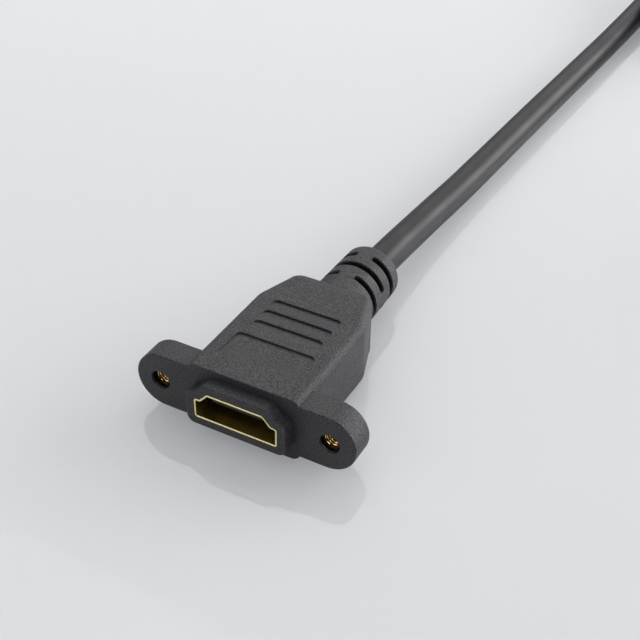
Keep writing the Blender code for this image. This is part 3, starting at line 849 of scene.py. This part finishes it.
def make_contact_row(name, nodes):
    """The strips of one row in the plug, with rounded tips."""
    bm = bmesh.new()
    for node in nodes:
        low, high = (Vector(corner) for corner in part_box(node))
        made = bmesh.ops.create_cube(bm, size=1.0)["verts"]
        bmesh.ops.scale(bm, vec=high - low, verts=made)
        bmesh.ops.translate(bm, vec=(low + high) / 2, verts=made)
    edges = [edge for edge in bm.edges if abs(edge.verts[0].co.y - edge.verts[1].co.y) > 0.001]
    bmesh.ops.bevel(bm, geom=edges, offset=0.00004, segments=2, affect="EDGES", profile=0.5)
    obj = make_object(name, bm)
    shade(obj, contact_gold)
    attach(obj, "root")
    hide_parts(*nodes)
    return obj


# Cable, coil and straps

def smooth_path(points, steps):
    """A smooth curve through the points, with so many steps between neighbours."""
    knots = [Vector(point) for point in points]
    path = []
    for i in range(len(knots) - 1):
        before = knots[max(i - 1, 0)]
        here, there = knots[i], knots[i + 1]
        after = knots[min(i + 2, len(knots) - 1)]
        for k in range(steps):
            t = k / steps
            path.append(0.5 * ((2 * here) + (there - before) * t
                               + (2 * before - 5 * here + 4 * there - after) * t * t
                               + (3 * here - before - 3 * there + after) * t ** 3))
    path.append(knots[-1])
    return path


def ease(value, start, end):
    part = min(1.0, max(0.0, (value - start) / (end - start)))
    return part * part * (3 - 2 * part)


def coil_place(turned):
    """Radius and height of the cable's middle after so many degrees of the coil."""
    inner = coil_outer_turn - turn_pitch
    high = coil_low + turn_pitch
    inward = ease(turned, 300, 360) - ease(turned, 900, 960)
    radius = coil_outer_turn + (inner - coil_outer_turn) * inward
    height = coil_low + (high - coil_low) * ease(turned, 600, 660)
    return radius, height


def coil_points():
    """The turns, clockwise from the side where the cable arrives."""
    points = []
    total = int(coil_turns * 360)
    for turned in range(0, total + 1, 5):
        radius, height = coil_place(turned)
        angle = math.radians(180 - turned)
        points.append((coil_centre[0] + radius * math.cos(angle),
                       coil_centre[1] + radius * math.sin(angle), height))
    return points


def make_cable():
    start = [(x + relief_shift * (1 - ease(y, 0.08, 0.12)), y, z) for x, y, z in route]
    whole = smooth_path(start + coil_points()[::2] + tail_route, 5)
    curve = bpy.data.curves.new("cable", "CURVE")
    curve.dimensions = "3D"
    curve.bevel_depth = cable_radius
    curve.bevel_resolution = 6
    curve.use_fill_caps = True
    spline = curve.splines.new("POLY")
    spline.points.add(len(whole) - 1)
    for point, co in zip(spline.points, whole):
        point.co = (*co, 1.0)
    spline.use_smooth = True
    cable = bpy.data.objects.new("cable", curve)
    bpy.context.scene.collection.objects.link(cable)
    curve.materials.append(cable_skin)
    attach(cable, "root")
    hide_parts("cable_run", "cable_coil", "cable_tail")
    return cable


def strap_outline(grow):
    wide = turn_pitch + cable_diameter
    middle = coil_outer_turn + cable_radius - wide / 2
    corners = box_corners(wide + 2 * grow, wide + 2 * grow, strap_corner_radius + grow,
                          (middle, coil_low - cable_radius + wide / 2))
    return rounded_outline(corners, 8)


def make_strap(name, node, angle):
    """A closed band round the turns, with rounded edges."""
    half = strap_width / 2
    steps = 8
    inner, outer = strap_outline(strap_play), strap_outline(strap_play + strap_thickness)
    middle, rounded = strap_outline(strap_play + strap_thickness / 2), strap_outline(strap_thickness)
    profile = [(inner, -half + strap_edge), (middle, -half), (rounded, -half + strap_edge / 3)]
    profile += [(outer, -half + strap_edge + (2 * half - 2 * strap_edge) * k / steps)
                for k in range(steps + 1)]
    profile += [(rounded, half - strap_edge / 3), (middle, half), (inner, half - strap_edge)]
    bm = bmesh.new()
    closed_skin(bm, [[(radius, across, height) for radius, height in outline] for outline, across in profile])
    obj = make_object(name, bm)
    turn = Matrix.Rotation(math.radians(angle), 4, "Z")
    obj.data.transform(Matrix.Translation((*coil_centre, 0.0)) @ turn)
    shade(obj, fabric, 60)
    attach(obj, "root")
    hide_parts(node)
    return obj


# Room

def look_matrix(azimuth, elevation, roll):
    a, e, r = (math.radians(value) for value in (azimuth, elevation, roll))
    back = Vector((math.sin(a) * math.cos(e), -math.cos(a) * math.cos(e), math.sin(e)))
    right = Vector((math.cos(a), math.sin(a), 0.0))
    up = back.cross(right)
    turned_right = math.cos(r) * right + math.sin(r) * up
    turned_up = -math.sin(r) * right + math.cos(r) * up
    return Matrix((turned_right, turned_up, back)).transposed().to_4x4()


def make_camera():
    data = bpy.data.cameras.new("camera")
    data.sensor_width = 36.0
    data.lens = focal_pixels * data.sensor_width / image_width
    data.clip_start = 0.01
    data.clip_end = 20.0
    camera = bpy.data.objects.new("camera", data)
    bpy.context.scene.collection.objects.link(camera)
    turn = look_matrix(camera_azimuth, camera_elevation, camera_roll)
    camera.matrix_world = Matrix.Translation(camera_place) @ turn
    bpy.context.scene.camera = camera


def make_lamp(name, place_at, target, size, power):
    data = bpy.data.lights.new(name, "AREA")
    data.shape = "RECTANGLE"
    data.size, data.size_y = size
    data.energy = power
    lamp = bpy.data.objects.new(name, data)
    bpy.context.scene.collection.objects.link(lamp)
    away = Vector(place_at) - Vector(target)
    lamp.matrix_world = Matrix.Translation(place_at) @ away.to_track_quat("Z", "Y").to_matrix().to_4x4()


def glow_behind(material, colour, share):
    """Give the camera and mirrors a share of the sheet's own even glow, which lightens its shadows."""
    tree = material.node_tree
    path = tree.nodes.new("ShaderNodeLightPath")
    seen = tree.nodes.new("ShaderNodeMath")
    seen.operation = "MAXIMUM"
    tree.links.new(path.outputs["Is Camera Ray"], seen.inputs[0])
    tree.links.new(path.outputs["Is Glossy Ray"], seen.inputs[1])
    part = tree.nodes.new("ShaderNodeMath")
    part.operation = "MULTIPLY"
    part.inputs[1].default_value = share
    tree.links.new(seen.outputs["Value"], part.inputs[0])
    glow = tree.nodes.new("ShaderNodeEmission")
    glow.inputs["Color"].default_value = (*colour, 1.0)
    mix = tree.nodes.new("ShaderNodeMixShader")
    tree.links.new(part.outputs["Value"], mix.inputs["Fac"])
    tree.links.new(tree.nodes["Principled BSDF"].outputs["BSDF"], mix.inputs[1])
    tree.links.new(glow.outputs["Emission"], mix.inputs[2])
    tree.links.new(mix.outputs["Shader"], tree.nodes["Material Output"].inputs["Surface"])


def make_floor():
    """A white acrylic sheet with a faint mirror of what stands on it."""
    bm = bmesh.new()
    corners = ((-floor_half, -floor_half), (floor_half, -floor_half), (floor_half, floor_half),
               (-floor_half, floor_half))
    bm.faces.new([bm.verts.new((x, y, floor_level)) for x, y in corners])
    floor = make_object("floor", bm)
    paint = new_material("floor", (0.75, 0.76, 0.79), 0.04, specular=0.75)
    shader = paint.node_tree.nodes["Principled BSDF"]
    shader.subsurface_method = "BURLEY"
    shader.inputs["Subsurface Weight"].default_value = 1.0
    shader.inputs["Subsurface Radius"].default_value = (1.0, 1.0, 1.0)
    shader.inputs["Subsurface Scale"].default_value = 0.012
    glow_behind(paint, (0.72, 0.73, 0.76), 0.28)
    shade(floor, paint)


def make_world():
    world = bpy.data.worlds.new("world")
    world.use_nodes = True
    background = world.node_tree.nodes["Background"]
    background.inputs["Color"].default_value = (0.93, 0.94, 0.97, 1.0)
    background.inputs["Strength"].default_value = 0.22
    bpy.context.scene.world = world


bpy.context.scene.view_settings.view_transform = "Standard"
make_camera()

pvc = moulded_pvc()
slot_shade_pvc = slot_pvc()
cable_skin = cable_pvc()
gold = gold_plate()
inside_shade_gold = shaded_gold()
contact_gold = contact_plate()
brass = turned_brass()
shade_brass = shaded_brass()
carrier = carrier_plastic()
milky = inner_plastic()
fabric = strap_fabric()

cable = make_cable()
straps = [make_strap(f"strap_{i}", f"coil_strap_{i}", angle) for i, angle in enumerate(strap_angles, 1)]
make_head_moulding()
plug_skin = make_plug_moulding()
shell("socket_rim", socket_width, socket_height, socket_wall, -boss_protrusion, socket_back, socket_rise,
      head_origin, "socket_shell")
plug_front = shell("plug_front", plug_shell_width, plug_shell_height, plug_shell_wall, -plug_shell_reach,
                   plug_shell_seat, 0.0, plug_origin, "plug_shell")
make_insert("threaded_insert_left", "insert_left", -hole_spacing / 2)
make_insert("threaded_insert_right", "insert_right", hole_spacing / 2)
rows = [
    make_contact_row("plug_row_wide", [f"plug_contact_{i:02d}" for i in range(1, 20, 2)]),
    make_contact_row("plug_row_narrow", [f"plug_contact_{i:02d}" for i in range(2, 20, 2)]),
]

for node_name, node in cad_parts.items():
    if node_name.startswith("socket_contact"):
        node.data.materials[0] = contact_gold
    elif node_name in ("contact_carrier", "plug_insulator"):
        node.data.materials[0] = carrier
    elif node_name in ("socket_inner_mould", "plug_inner_mould"):
        node.data.materials[0] = milky

make_floor()
make_world()
make_lamp("back", (-0.42, 0.92, 0.78), (0.0, 0.02, 0.0), (1.5, 1.0), 6.4)
make_lamp("back_right", (0.62, 0.78, 0.34), (0.0, 0.05, 0.0), (0.9, 0.5), 8.0)
make_lamp("right", (0.98, 0.15, 0.32), (0.0, 0.02, 0.0), (0.8, 0.5), 3.0)
make_lamp("front_left", (-0.60, -0.75, 0.45), (0.0, 0.0, 0.0), (0.8, 0.6), 1.8)
make_lamp("overhead", (-0.25, 0.0, 1.10), (-0.02, 0.02, 0.0), (1.3, 1.2), 2.6)
